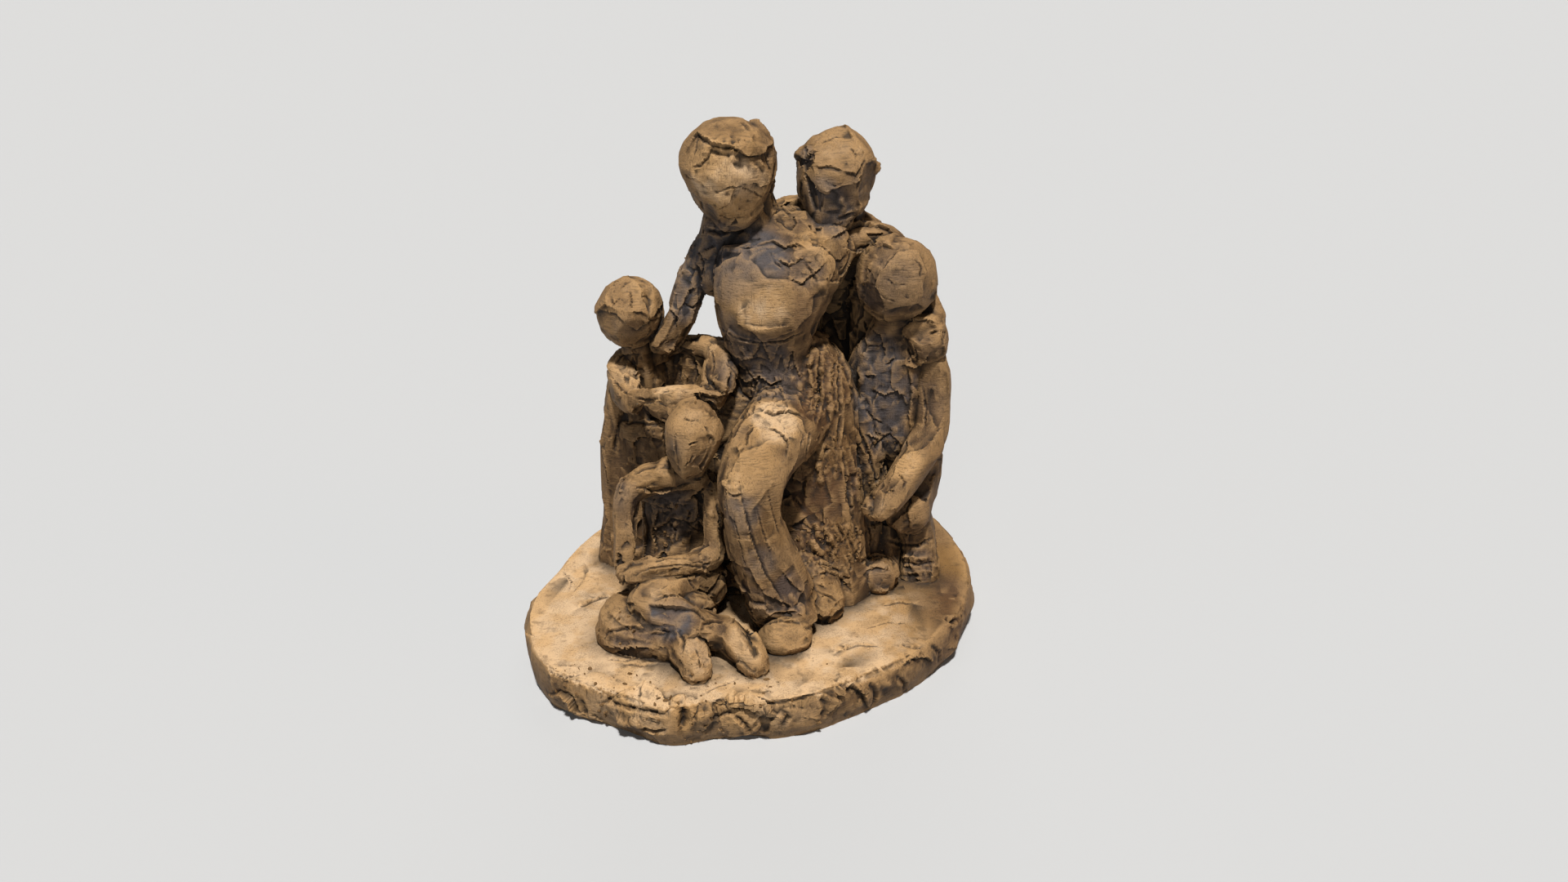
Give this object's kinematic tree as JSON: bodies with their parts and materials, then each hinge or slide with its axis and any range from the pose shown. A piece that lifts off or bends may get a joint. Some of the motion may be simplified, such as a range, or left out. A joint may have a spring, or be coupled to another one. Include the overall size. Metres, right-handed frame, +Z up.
{
  "type": "family group sculpture",
  "caption": "Rough-modelled clay family group: seated mother, man behind and children, all in one mass on an irregular oval slab.",
  "frame": {"origin": "on the underside of the slab, below the middle of the group", "axes": "+Z up, -Y towards the group's front, +X to the viewer's right"},
  "size_m": [0.2693, 0.2584, 0.2946],
  "materials": {
    "clay": "matt brown modelling clay, slightly glossy where a tool smoothed it"
  },
  "bodies": {
    "root": {"family_group": "clay"}
  },
  "joints": []
}
